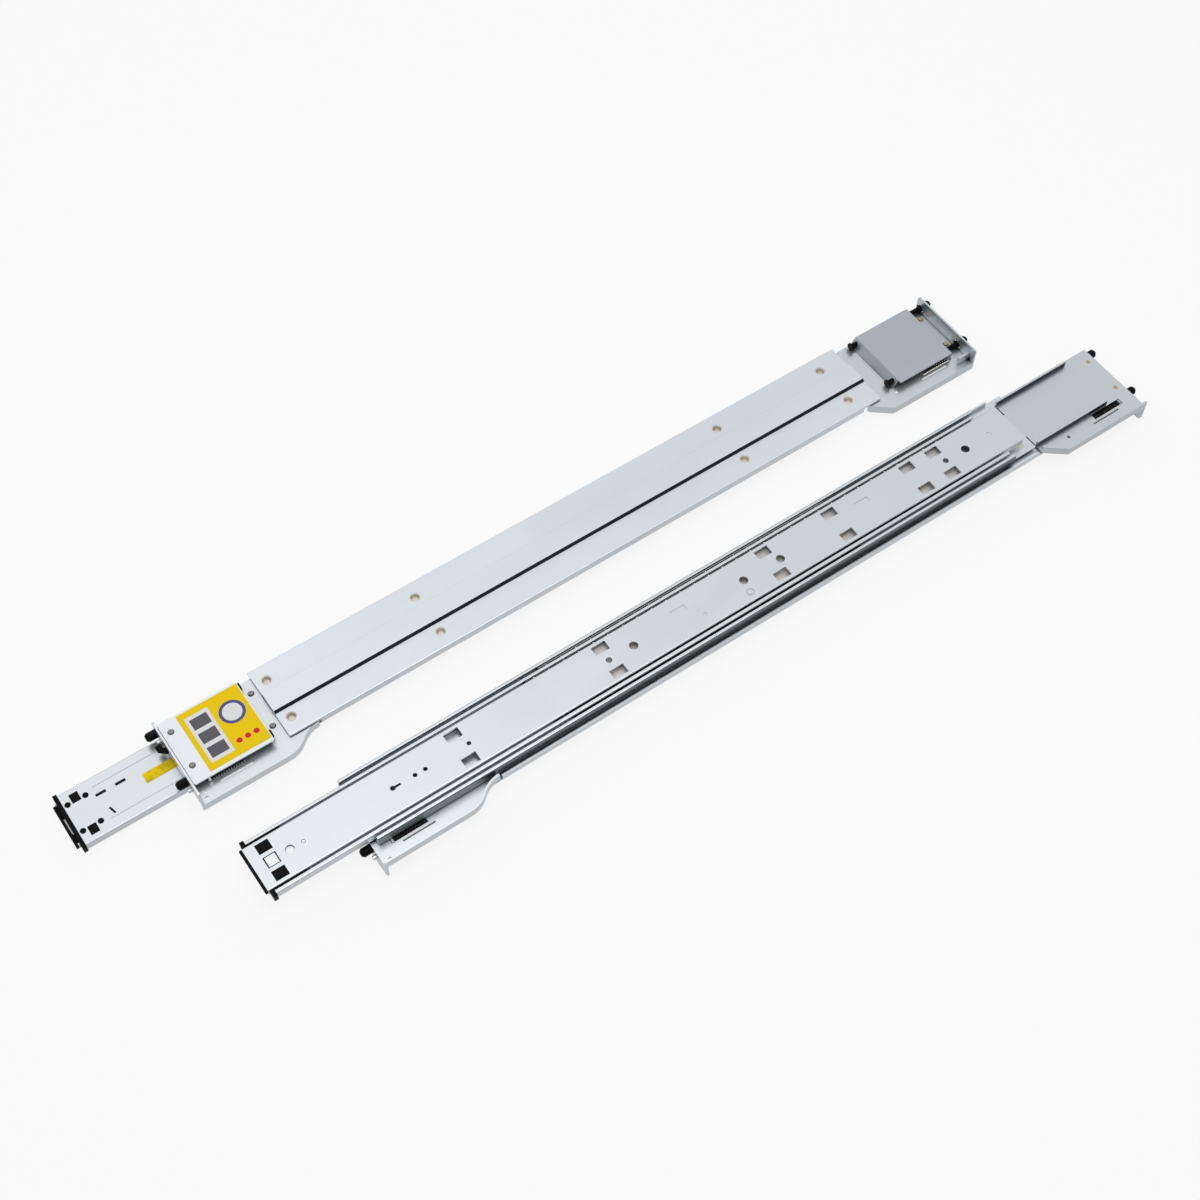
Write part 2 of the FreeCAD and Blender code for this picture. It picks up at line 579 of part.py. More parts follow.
# ---------------------------------------------------------------- support plate and its rivets
def support_plate():
    body = start("support_plate")
    low, high = "plateBottom", "plateTop"
    crown = "hatHalf - bracketSheet / 2"
    skirt = "hatHalf + hatSlope"
    section = [("-plateHalf", low), (f"-({skirt} - bracketSheet / 2)", low),
               (f"-({crown})", f"{low} + hatRise"), (crown, f"{low} + hatRise"),
               (f"{skirt} - bracketSheet / 2", low), ("plateHalf", low),
               ("plateHalf", high, "edgeRadius"), (skirt, high), ("hatHalf", f"{high} + hatRise"),
               ("-hatHalf", f"{high} + hatRise"), (f"-({skirt})", high),
               ("-plateHalf", high, "edgeRadius")]
    pad(body, "YZ", "plateStart", "plateEnd - plateStart", section)
    pad(body, "XY", f"{low} - wallDrop", "wallDrop",
        *both_sides("wallStart", "wallEnd", "plateHalf - bracketSheet", "plateHalf"))
    cut(body, "XY", high, "4 * bracketSheet",
        *[("circle", x, y, "spacerNeck") for x, y in spacer_spots()])
    finish("support_plate", body)


def spacer_rivet(number_in_row, x, y):
    """A hollow rivet: a shank in the outer member, a shoulder, and a neck in the support plate."""
    name = f"spacer_{number_in_row}"
    low, high = "plateBottom", "plateTop"
    under = "outerTop - outerSheet"
    solid = fuse(f"{name}_solid", [
        round_bar(f"{name}_shank", "spacerShank", f"plateTop - ({under})", x, y, under),
        round_bar(f"{name}_shoulder", "spacerRadius", f"{low} - outerTop", x, y, "outerTop"),
        round_bar(f"{name}_neck", "spacerNeck", f"{high} - {low}", x, y, low)])
    bore = round_bar(f"{name}_bore", "spacerBore", f"{high} - outerTop", x, y,
                     "outerTop + spacerFloor")
    rivet = doc.addObject("Part::Cut", name)
    rivet.Base = solid
    rivet.Tool = bore
    return rivet


def plate_rivets():
    rivets = [spacer_rivet(k, x, y) for k, (x, y) in enumerate(spacer_spots())]
    finish("plate_rivets", group("plate_rivets", rivets))


def small_rivet(name, x, y, foot, face):
    """A shank from foot to face with a low domed head on the face."""
    return fuse(name, [
        round_bar(f"{name}_shank", "rivetShank", f"({face}) - ({foot})", x, y, foot),
        round_bar(f"{name}_head", "rivetHead", "rivetRise", x, y, face, tip="rivetCrown")])


def rivets(label, x, foot, face):
    pair = [small_rivet(f"{label}_{k}", *spot, foot, face) for k, spot in enumerate(rivet_pair(x))]
    finish(label, group(label, pair))


def small_rivets():
    rivets("front_rivets", "rivetBack", "outerTop - outerSheet", "baseTop")
    rivets("latch_rivets", "rivetFront", "coverBottom", "coverTop")
    rivets("rear_rivets", "railSpan - rivetRear", "tongueBottom", "tongueTop")


# ---------------------------------------------------------------- brackets
def flange(body, face, thick_from, foot, corner_clear):
    """The plate that meets the rack post, with round holes for the pins and two locating nubs."""
    pad(body, "YZ", thick_from, "bracketSheet",
        [("-wingReach", foot), ("baseNorth", foot), ("baseNorth", "flangeTop", "flangeRadius"),
         ("-wingReach", "flangeTop", "flangeRadius")])
    nub_start = f"{face} - nubReach" if corner_clear else face
    pad(body, "YZ", nub_start, "nubReach",
        ("circle", "pinRow - nubDrop", "pinHeight", "nubRadius"),
        ("circle", "-pinRow - nubDrop", "pinHeight", "nubRadius"))
    cut(body, "YZ", f"{thick_from} + bracketSheet / 2", "2 * bracketSheet",
        ("circle", "pinRow", "pinHeight", "capRadius + pinClear"),
        ("circle", "-pinRow", "pinHeight", "capRadius + pinClear"))


def front_bracket():
    body = start("front_bracket")
    plate = [("0", "-wingReach"), ("wingStraight", "-wingReach", "sweepRadius", 1),
             ("sweepMidX", "sweepMidY", "sweepRadius", -1), ("wingEnd", "-plateHalf"),
             ("wingEnd", "baseNorth"), ("0", "baseNorth")]
    pad(body, "XY", "outerTop", "bracketSheet", plate)
    inner_mid = ("sweepMidX - bracketSheet * sweepSin", "sweepMidY + bracketSheet * sweepCos")
    wall = [("0", "-wingReach"), ("wingStraight", "-wingReach", "sweepRadius", 1),
            ("sweepMidX", "sweepMidY", "sweepRadius", -1), ("wingEnd", "-plateHalf"),
            ("wingEnd", "-plateHalf + bracketSheet", "sweepRadius + bracketSheet", 1),
            (*inner_mid, "sweepRadius - bracketSheet", -1),
            ("wingStraight", "-wingReach + bracketSheet"), ("0", "-wingReach + bracketSheet")]
    pad(body, "XY", "wingFoot", "wingDrop", wall)
    flange(body, "0", "0", "outerTop", True)
    cut(body, "YZ", "bracketSheet / 2", "2 * bracketSheet",
        box("hookInner - hookClear", "hookOuter + hookClear", "pinHeight - hookSlotDepth / 2",
            "pinHeight + hookSlotDepth / 2"))
    cut(body, "XY", "outerTop + bracketSheet / 2", "2 * bracketSheet",
        box("windowStart", "windowStart + windowLength", "-windowSouth", "-windowNorth"),
        box("ribStart", "ribStart + ribLength", "-ribRow - ribWidth / 2", "-ribRow + ribWidth / 2"),
        ("circle", "reliefX", "-reliefY", "reliefRadius"),
        *[("circle", x, y, "rivetShank + rivetClear") for x, y in rivet_pair("rivetBack")],
        *[("circle", "spacerOne", f"{side}spacerRow", "spacerRadius + rivetClear")
          for side in ("", "-")])
    finish("front_bracket", body)


def rear_bracket():
    body = start("rear_bracket")
    face = "railSpan"
    plate = [("tongueStart", "-tongueHalf"), ("channelStart", "-tongueHalf"),
             ("channelStart", "-plateHalf"), ("chamferX", "-wingReach"), (face, "-wingReach"),
             (face, "baseNorth"), ("shoulderX", "baseNorth"), ("shoulderX", "channelHalf"),
             ("channelStart", "channelHalf"), ("channelStart", "tongueHalf"),
             ("tongueStart", "tongueHalf")]
    pad(body, "XY", "tongueBottom", "bracketSheet", plate)
    channel_wall = both_sides("channelStart", "railSpan - channelEnd",
                              "channelHalf - bracketSheet", "channelHalf")
    pad(body, "XY", "tongueBottom - channelDrop", "channelDrop", *channel_wall)
    wall = [("channelStart", "-plateHalf"), ("chamferX", "-wingReach"), (face, "-wingReach"),
            (face, "-wingReach + bracketSheet"),
            ("chamferX + chamferShift", "-wingReach + bracketSheet"),
            ("channelStart", "-plateHalf + chamferLift")]
    pad(body, "XY", "rearWingFoot", "wingDrop", wall)
    flange(body, face, f"{face} - bracketSheet", "tongueBottom", False)
    pad(body, "XY", "tongueTop", "gussetRise",
        box(f"{face} - bracketSheet - gussetRun", f"{face} - bracketSheet",
            "-gussetRow - bracketSheet", "-gussetRow"))
    window = "railSpan - windowStart - windowLength"
    cut(body, "XY", "tongueBottom + bracketSheet / 2", "2 * bracketSheet",
        box(window, "railSpan - windowStart", "-windowSouth", "-windowNorth"),
        box("railSpan - ribStart - ribLength", "railSpan - ribStart", "-ribRow - ribWidth / 2",
            "-ribRow + ribWidth / 2"),
        ("circle", "railSpan - pivotReach", "-pivotRow", "pivotBore"),
        *[("circle", x, y, "rivetShank + rivetClear")
          for x, y in rivet_pair("railSpan - rivetRear")])
    finish("rear_bracket", body)


# ---------------------------------------------------------------- what slides with the pins
def front_latch():
    body = start("front_latch_plate")
    pad(body, "XY", "coverBottom", "coverSheet",
        [("coverStart", "-coverSouth", "coverRadius"), ("coverEnd", "-coverSouth", "coverRadius"),
         ("coverEnd", "coverNorth", "coverRadius"), ("coverStart", "coverNorth", "coverRadius")])
    foot = "baseTop + coverFoot"
    ears = both_sides("coverEnd - coverSheet", "coverEnd", "earInner", "coverNorth")
    side = box("coverStart", "coverEnd", "coverNorth - coverSheet", "coverNorth")
    pad(body, "XY", foot, f"coverBottom - ({foot})", side)
    pad(body, "XY", foot, f"coverBottom - ({foot})", *ears)
    finger_x = "windowStart + fingerStart"
    pad(body, "XY", "tongueBottom", "coverTop - tongueBottom",
        box(finger_x, f"{finger_x} + fingerSheet", "-fingerSouth", "-fingerNorth"))
    cut(body, "YZ", "coverEnd - coverSheet / 2", "2 * coverSheet",
        ("circle", "pinRow", "pinHeight", "rodRadius"),
        ("circle", "-pinRow", "pinHeight", "rodRadius"))
    cut(body, "XY", "coverTop", "4 * coverSheet",
        *[("circle", x, y, "rivetShank + rivetClear") for x, y in rivet_pair("rivetFront")])
    finish("front_latch_plate", body)


def rear_latch():
    body = start("rear_latch_plate")
    edge = "rearCoverStart + coverSlope"
    pad(body, "XY", "coverBottom", "coverSheet",
        [(edge, "-coverSouth"), ("rearCoverEnd", "-coverSouth", "coverRadius"),
         ("rearCoverEnd", "coverNorth", "coverRadius"), (edge, "coverNorth")])
    foot = "tongueTop + coverFoot"
    # the leading face leans back from its foot to the top of the cover
    slope = [("rearCoverStart", foot), ("rearCoverStart + coverSheet", foot),
             (f"{edge} + coverSheet", "coverBottom"), (f"{edge} + coverSheet", "coverTop"),
             (edge, "coverTop")]
    pad(body, "XZ", "-coverNorth", "coverNorth + earOuter", slope)
    side = box(f"{edge} + coverSheet", "rearCoverEnd", "coverNorth - coverSheet", "coverNorth")
    pad(body, "XY", foot, f"coverBottom - ({foot})", side)
    finger_x = "railSpan - windowStart - fingerStart - fingerSheet"
    pad(body, "XY", "tongueBottom", "coverTop - tongueBottom",
        box(finger_x, f"{finger_x} + fingerSheet", "-fingerSouth", "-fingerNorth"))
    cut(body, "YZ", "rearCoverStart + coverSlope / 2", "2 * coverSlope",
        ("circle", "pinRow", "pinHeight", "rodRadius"),
        ("circle", "-pinRow", "pinHeight", "rodRadius"))
    finish("rear_latch_plate", body)


def pin(name, tail, face, y, way):
    """A rod from a round foot to a neck in the flange and a cap outside it, towards way * X."""
    along = "x" if way > 0 else "-x"
    collar = f"({face}) - {way} * capNose"
    rod_length = f"{way} * (({collar}) - ({tail}))"
    cap = f"({face}) + {way} * capGap"
    nose = f"({face}) + {way} * (pinReach - noseTaper)"
    return fuse(name, [
        round_bar(f"{name}_foot", "tailRadius", "tailDisc", tail, y, "pinHeight", along),
        round_bar(f"{name}_rod", "rodRadius", rod_length, tail, y, "pinHeight", along),
        round_bar(f"{name}_neck", "neckRadius", "capNose + capGap", collar, y, "pinHeight", along),
        round_bar(f"{name}_cap", "capRadius", "pinReach - noseTaper - capGap", cap, y,
                  "pinHeight", along),
        round_bar(f"{name}_nose", "capRadius", "noseTaper", nose, y, "pinHeight", along,
                  tip="rodRadius")])


def pins():
    front = [pin(f"front_pin_{k}", "coverEnd + tailReach", "0", f"{side}pinRow", -1)
             for k, side in enumerate(("", "-"))]
    finish("front_pins", group("front_pins", front))
    rear = [pin(f"rear_pin_{k}", "rearCoverStart - rearTailReach", "railSpan",
                f"{side}pinRow", 1) for k, side in enumerate(("", "-"))]
    finish("rear_pins", group("rear_pins", rear))


def front_hook():
    """Flat catch that reaches through the flange beside the upper pin and rides on the cover."""
    body = start("front_hook")
    level = "pinHeight - hookSheet / 2"
    pad(body, "XY", level, "hookSheet",
        [("-hookTip", "hookOuter - hookStem"), ("-bracketSheet", "hookInner"),
         ("hookTail", "hookInner"), ("hookTail", "hookInner + hookStem"),
         ("-bracketSheet", "hookInner + hookStem"), ("-bracketSheet", "hookOuter"),
         ("-hookTip", "hookOuter")])
    pad(body, "XY", level, f"coverBottom - ({level})",
        box("hookTail - hookPost", "hookTail", "hookInner", "hookInner + hookStem"))
    finish("front_hook", body)


def front_label():
    body = start("front_label")
    pad(body, "XY", "coverTop", "labelSheet",
        box("labelStart", "coverEnd - labelInset", "-labelSouth", "labelNorth"))
    finish("front_label", body)


def spring(label, begin):
    """A coil along X that fills the window between the finger and the window's far end."""
    body = start(label)
    coil = draw(body, "XZ", "0", [("circle", "springWire", "springRadius", "springWire")])
    helix = body.newObject("PartDesign::AdditiveHelix", f"{label}_coil")
    helix.Profile = coil
    helix.ReferenceAxis = axis(body, "X_Axis")
    helix.Mode = "height-turns-angle"
    bind(helix, "Height", "springLength - 2 * springWire")
    bind(helix, "Turns", "springTurns")
    holder = group(label, [body])
    bind(body, "Placement.Base.x", begin)
    bind(body, "Placement.Base.y", "-springRow")
    bind(body, "Placement.Base.z", "springLevel")
    finish(label, holder)


def springs():
    spring("front_latch_spring", "windowStart + fingerStart + fingerSheet")
    spring("rear_latch_spring", "railSpan - windowStart - windowLength")


# ---------------------------------------------------------------- build, check and write
def check():
    doc.recompute()
    for thing in doc.Objects:
        if "Invalid" in thing.State or "Error" in thing.State:
            raise RuntimeError(f"{thing.Label} failed: {thing.State}")
        if thing.isDerivedFrom("PartDesign::Pocket"):
            if thing.Shape.Volume >= thing.BaseFeature.Shape.Volume:
                raise RuntimeError(f"{thing.Label} removes nothing")
    for node in NODES:
        if node.Shape.isNull() or not node.Shape.isValid() or not node.Shape.Solids:
            raise RuntimeError(f"{node.Label} has no valid solid")


def write():
    os.makedirs("parts", exist_ok=True)
    for node in NODES:
        node.Shape.exportStep(os.path.join("parts", f"{node.Label}.step"))


outer_member()
middle_member()
inner_member()
cages()
inner_bumper()
release_lever()
middle_bumper()
middle_clips()
middle_tag()
support_plate()
plate_rivets()
small_rivets()
front_bracket()
rear_bracket()
front_latch()
rear_latch()
pins()
front_hook()
front_label()
springs()
check()
write()
for node in NODES:
    print(node.Label, len(node.Shape.Solids), round(node.Shape.Volume, 1))
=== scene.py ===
import json
import math
import bmesh
import bpy
import numpy as np
from mathutils import Matrix, Vector


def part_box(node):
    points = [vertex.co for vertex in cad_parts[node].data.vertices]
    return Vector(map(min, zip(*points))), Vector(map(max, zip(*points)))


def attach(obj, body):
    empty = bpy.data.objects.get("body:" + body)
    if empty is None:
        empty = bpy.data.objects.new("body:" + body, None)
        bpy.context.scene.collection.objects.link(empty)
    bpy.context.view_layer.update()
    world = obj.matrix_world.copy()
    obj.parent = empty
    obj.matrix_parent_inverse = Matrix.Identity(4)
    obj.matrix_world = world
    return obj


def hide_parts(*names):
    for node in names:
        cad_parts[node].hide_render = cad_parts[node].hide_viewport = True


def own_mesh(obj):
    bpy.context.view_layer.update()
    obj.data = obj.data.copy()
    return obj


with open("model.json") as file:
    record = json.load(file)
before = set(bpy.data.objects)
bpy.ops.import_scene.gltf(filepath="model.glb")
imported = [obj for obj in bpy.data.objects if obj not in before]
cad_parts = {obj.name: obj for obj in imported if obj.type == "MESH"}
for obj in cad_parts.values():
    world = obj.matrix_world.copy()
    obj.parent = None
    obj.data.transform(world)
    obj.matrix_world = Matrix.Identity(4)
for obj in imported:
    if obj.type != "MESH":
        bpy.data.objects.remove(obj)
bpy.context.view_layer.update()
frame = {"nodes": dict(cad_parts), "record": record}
nodes = frame["nodes"]
bodies = frame["record"]["behaviour"]["bodies"]
bodyOf = {node: body for body, members in bodies.items() for node in members}
slotOf = {part["node"]: part["material_slot"] for part in frame["record"]["subparts"]}
print("frame loaded:", len(nodes), "nodes")


class Wire:
    # an output socket that takes part in ordinary sums and comparisons
    def __init__(self, paint, socket):
        self.paint = paint
        self.socket = socket

    def sum(self, operation, first, second=0.0):
        made = self.paint.node("ShaderNodeMath", {"operation": operation}, {0: first, 1: second})
        return made["Value"]

    def __add__(self, other):
        return self.sum("ADD", self, other)

    def __radd__(self, other):
        return self.sum("ADD", other, self)

    def __sub__(self, other):
        return self.sum("SUBTRACT", self, other)

    def __rsub__(self, other):
        return self.sum("SUBTRACT", other, self)

    def __mul__(self, other):
        return self.sum("MULTIPLY", self, other)

    def __rmul__(self, other):
        return self.sum("MULTIPLY", other, self)

    def __truediv__(self, other):
        return self.sum("DIVIDE", self, other)

    def __pow__(self, other):
        return self.sum("POWER", self, other)

    def __gt__(self, other):
        return self.sum("GREATER_THAN", self, other)

    def __lt__(self, other):
        return self.sum("LESS_THAN", self, other)

    def __abs__(self):
        return self.sum("ABSOLUTE", self)

    def smooth(self, low, high):
        # 0 below low, 1 above high, and an even S between them
        settings = {"interpolation_type": "SMOOTHSTEP"}
        values = {"Value": self, "From Min": low, "From Max": high}
        return self.paint.node("ShaderNodeMapRange", settings, values)["Result"]


# places of the Mix node's colour sockets, which share their names with its other kinds
mixPlace = {"factor": 0, "first": 6, "second": 7, "result": 2}

# how the painted shade of a gap is sampled, and the openness at which it is full and at which it
# ends
gapShade = {"samples": 16, "from": 0.2, "to": 0.75}


class Paint:
    # one material, and one method that adds any node to it
    def __init__(self, name):
        self.material = bpy.data.materials.new(name)
        self.material.use_nodes = True
        self.tree = self.material.node_tree
        self.tree.nodes.clear()
        self.output = self.tree.nodes.new("ShaderNodeOutputMaterial")

    def fill(self, socket, value):
        if isinstance(value, Wire):
            self.tree.links.new(value.socket, socket)
        else:
            socket.default_value = value

    def node(self, kind, settings=None, values=None):
        made = self.tree.nodes.new(kind)
        for name, setting in (settings or {}).items():
            setattr(made, name, setting)
        for name, value in (values or {}).items():
            self.fill(made.inputs[name], value)
        return {out.name: Wire(self, out) for out in made.outputs if out.enabled}

    def place(self, scale):
        coords = self.node("ShaderNodeTexCoord")["Object"]
        return self.node("ShaderNodeMapping", {}, {"Vector": coords, "Scale": scale})["Vector"]

    def noise(self, size, detail, stretch=1):
        # cloudy noise whose blobs are about size metres across, and stretch times as long along X
        where = self.place((1 / (size * stretch), 1 / size, 1 / size))
        values = {"Vector": where, "Scale": 1.0, "Detail": detail}
        return self.node("ShaderNodeTexNoise", {}, values)["Fac"]

    def axes(self):
        coords = self.node("ShaderNodeTexCoord")["Object"]
        parts = self.node("ShaderNodeSeparateXYZ", {}, {0: coords})
        return parts["X"], parts["Y"]

    def steep(self):
        # how far the surface leans to Y: 0 on the flat, 1 on a wall that runs along the rail
        normal = self.node("ShaderNodeTexCoord")["Normal"]
        return abs(self.node("ShaderNodeSeparateXYZ", {}, {0: normal})["Y"])

    def blend(self, factor, first, second):
        made = self.tree.nodes.new("ShaderNodeMix")
        made.data_type = "RGBA"
        self.fill(made.inputs[mixPlace["factor"]], factor)
        for name, colour in (("first", first), ("second", second)):
            value = (*colour, 1) if isinstance(colour, tuple) else colour
            self.fill(made.inputs[mixPlace[name]], value)
        return Wire(self, made.outputs[mixPlace["result"]])

    def hollow(self, reach, dark):
        # painted shade: 1 in the open, falling to dark where other surfaces within reach close the
        # spot in
        settings = {"samples": gapShade["samples"]}
        room = self.node("ShaderNodeAmbientOcclusion", settings, {"Distance": reach})["AO"]
        return dark + (1 - dark) * room.smooth(gapShade["from"], gapShade["to"])

    def bump(self, height, distance, strength):
        values = {"Height": height, "Distance": distance, "Strength": strength}
        return self.node("ShaderNodeBump", {}, values)["Normal"]

    def finish(self, **values):
        names = {"colour": "Base Color", "metal": "Metallic", "rough": "Roughness",
                 "normal": "Normal", "gloss": "Specular IOR Level"}
        values = {names[key]: value for key, value in values.items()}
        surface = self.node("ShaderNodeBsdfPrincipled", {}, values)["BSDF"]
        self.fill(self.output.inputs["Surface"], surface)
        return self.material


# each finish gives how far, in metres, the painted shade of a gap reaches up the walls beside it
# walls along the rail get a painted shade colour: all of them, or those within so much of its middle
steelLook = {
    "zinc_steel": {
        "pale": (0.74, 0.78, 0.82), "deep": (0.66, 0.70, 0.74), "rough": 0.30, "metal": 0.80,
        "hollow": 0.0025, "drawn": (0.20, 0.24, 0.25)},
    "plate_steel": {
        "pale": (0.78, 0.82, 0.86), "deep": (0.70, 0.74, 0.79), "rough": 0.30, "metal": 0.80,
        "hollow": 0.004, "drawn": (0.03, 0.033, 0.04), "within": 0.012},
    "bracket_steel": {
        "pale": (0.76, 0.80, 0.83), "deep": (0.68, 0.72, 0.75), "rough": 0.30, "metal": 0.80,
        "hollow": 0.005},
    "channel_steel": {
        "pale": (0.68, 0.72, 0.75), "deep": (0.60, 0.64, 0.67), "rough": 0.30, "metal": 0.80,
        "hollow": 0.005, "drawn": (0.012, 0.016, 0.035), "within": 0.0265},
    "member_steel": {
        "pale": (0.74, 0.77, 0.81), "deep": (0.67, 0.70, 0.74), "rough": 0.29, "metal": 0.80,
        "hollow": 0.0032},
    "cover_steel": {
        "pale": (0.50, 0.54, 0.58), "deep": (0.43, 0.47, 0.51), "rough": 0.34, "metal": 0.80,
        "hollow": 0.0015},
    "front_cover": {
        "pale": (0.80, 0.84, 0.88), "deep": (0.72, 0.76, 0.80), "rough": 0.32, "metal": 0.80,
        "hollow": 0.0015},
    "rivet_steel": {
        "pale": (0.30, 0.30, 0.30), "deep": (0.20, 0.20, 0.20), "rough": 0.36, "metal": 0.80,
        "hollow": 0.004},
    "rivet_pale": {
        "pale": (0.88, 0.84, 0.76), "deep": (0.70, 0.64, 0.54), "rough": 0.34, "metal": 0.70,
        "hollow": 0.0025},
    "lever_steel": {
        "pale": (0.80, 0.82, 0.83), "deep": (0.70, 0.72, 0.73), "rough": 0.28, "metal": 0.80,
        "hollow": 0.002},
    "cage_steel": {
        "pale": (0.90, 0.87, 0.85), "deep": (0.80, 0.76, 0.74), "rough": 0.45, "metal": 0.30,
        "hollow": 0.004},
    "rivet_brass": {
        "pale": (0.66, 0.52, 0.30), "deep": (0.46, 0.34, 0.18), "rough": 0.32, "metal": 0.85,
        "hollow": 0.003},
}
# size is in metres, and colour and rough are the pattern's shares in the tone and the roughness
steelGrain = {
    "line": {"size": 0.0006, "detail": 2.0, "stretch": 60, "colour": 0.08, "rough": 0.04},
    "cloud": {"size": 0.09, "detail": 2.0, "stretch": 3, "colour": 0.8},
    "smudge": {"size": 0.03, "detail": 1.0, "stretch": 2, "rough": 0.06},
    "crystal": {"size": 0.005, "colour": 0.03, "rough": 0.01},
    "smudgeEdge": (0.45, 0.75), "shadeEdge": (0.2, 0.8), "wallEdge": (0.3, 0.7),
    "middle": 0.5, "lineDepth": 0.000002, "lineStrength": 0.4,
    # the colour after dark is the painted shade that gaps and corners are darkened to
    "dark": 0.0, "grime": (0.004, 0.0045, 0.006),
}


def nearLine(paint, reach):
    # 1 within reach of either rail's centre line
    across = paint.axes()[1]
    near = 0.0
    for side in ("right", "left"):
        low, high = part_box("outer_member_" + side)
        off = across - (low.y + high.y) / 2
        near = (abs(off) < reach) + near
    return near


def steel(name):
    # plated sheet: fine rolling lines along X, faint crystals, soft patches, painted shade on walls
    # along the rail and in gaps
    look = steelLook[name]
    grain = steelGrain
    paint = Paint(name)

    def pattern(kind):
        shape = grain[kind]
        return paint.noise(shape["size"], shape["detail"], shape["stretch"])

    lines = pattern("line")
    clouds = pattern("cloud")
    smudge = pattern("smudge").smooth(*grain["smudgeEdge"])
    where = paint.place((1 / grain["crystal"]["size"],) * 3)
    crystal = paint.node("ShaderNodeTexVoronoi", {}, {"Vector": where, "Scale": 1.0})["Color"]
    tone = paint.node("ShaderNodeSeparateColor", {}, {0: crystal})["Red"]

    shade = clouds * grain["cloud"]["colour"] + tone * grain["crystal"]["colour"]
    shade = shade + lines * grain["line"]["colour"]
    colour = paint.blend(shade.smooth(*grain["shadeEdge"]), look["pale"], look["deep"])
    # painted shade: walls that run along the rail are darkened to a set colour
    if "drawn" in look:
        drawn = paint.steep().smooth(*grain["wallEdge"])
        if "within" in look:
            drawn = drawn * nearLine(paint, look["within"])
        colour = paint.blend(drawn, colour, look["drawn"])
    # painted shade: gaps and corners are darkened towards a near-black colour
    colour = paint.blend(paint.hollow(look["hollow"], grain["dark"]), grain["grime"], colour)

    rough = look["rough"] + (lines - grain["middle"]) * grain["line"]["rough"]
    rough = rough + smudge * grain["smudge"]["rough"]
    rough = rough + (tone - grain["middle"]) * grain["crystal"]["rough"]
    normal = paint.bump(lines, grain["lineDepth"], grain["lineStrength"])
    return paint.finish(colour=colour, metal=look["metal"], rough=rough, normal=normal)


blackLook = {
    "black_plastic": {
        "colour": (0.004, 0.004, 0.004), "worn": (0.016, 0.016, 0.017), "rough": 0.45, "metal": 0.0},
    "black_pin": {
        "colour": (0.004, 0.004, 0.004), "worn": (0.018, 0.018, 0.019), "rough": 0.38, "metal": 0.0},
    "spring_wire": {
        "colour": (0.030, 0.030, 0.030), "worn": (0.110, 0.105, 0.100), "rough": 0.32, "metal": 0.8},
}
blackGrain = {
    "speckle": {"size": 0.0005, "detail": 2.0, "depth": 0.00002, "strength": 0.6, "rough": 0.1},
    "scuff": {"size": 0.004, "detail": 4.0, "edge": (0.55, 0.8), "rough": 0.12},
    "middle": 0.5, "gloss": 0.08,
}


def black(name):
    # moulded plastic or blackened metal: a fine speckle, and scuffs that are a little paler
    look = blackLook[name]
    grain = blackGrain["speckle"]
    wear = blackGrain["scuff"]
    paint = Paint(name)
    speckle = paint.noise(grain["size"], grain["detail"])
    scuff = paint.noise(wear["size"], wear["detail"]).smooth(*wear["edge"])
    colour = paint.blend(scuff, look["colour"], look["worn"])
    normal = paint.bump(speckle, grain["depth"], grain["strength"])
    rough = look["rough"] + scuff * wear["rough"]
    rough = rough + (speckle - blackGrain["middle"]) * grain["rough"]
    return paint.finish(colour=colour, metal=look["metal"], rough=rough, normal=normal,
                        gloss=blackGrain["gloss"])


ballLook = {"colour": (0.80, 0.81, 0.82), "metal": 1.0, "rough": 0.08,
            "haze": 0.002, "hazeDetail": 3.0, "hazeShare": 0.08}


def ballSteel():
    # polished, with a faint haze
    paint = Paint("ball_steel")
    haze = paint.noise(ballLook["haze"], ballLook["hazeDetail"])
    rough = ballLook["rough"] + haze * ballLook["hazeShare"]
    return paint.finish(colour=(*ballLook["colour"], 1), metal=ballLook["metal"], rough=rough)


# places on the label run from 0 to 1 along X and Y, and sizes are shares of its length
labelLook = {
    "yellow": (1.0, 0.70, 0.0), "panel": (0.90, 0.90, 0.91), "grey": (0.13, 0.13, 0.15),
    "red": (0.75, 0.02, 0.05), "blue": (0.10, 0.11, 0.32),
    "panelBox": (0.08, 0.46, 0.10, 0.90),
    "barEnds": (0.13, 0.41), "bars": ((0.16, 0.34), (0.41, 0.59), (0.66, 0.84)),
    "dialPlace": (0.73, 0.64), "dialInner": 0.15, "dialOuter": 0.20,
    "dots": (0.59, 0.73, 0.87), "dotRow": 0.2, "dotSize": 0.045,
    "wave": 0.012, "waveDetail": 2.0, "waveDepth": 0.0001, "waveStrength": 0.3,
    "rough": 0.38, "waveRough": 0.12, "gloss": 0.15,
}


def inside(along, across, box):
    # 1 inside the box (low X, high X, low Y, high Y) and 0 outside it
    lowX, highX, lowY, highY = box
    return (along > lowX) * (along < highX) * (across > lowY) * (across < highY)


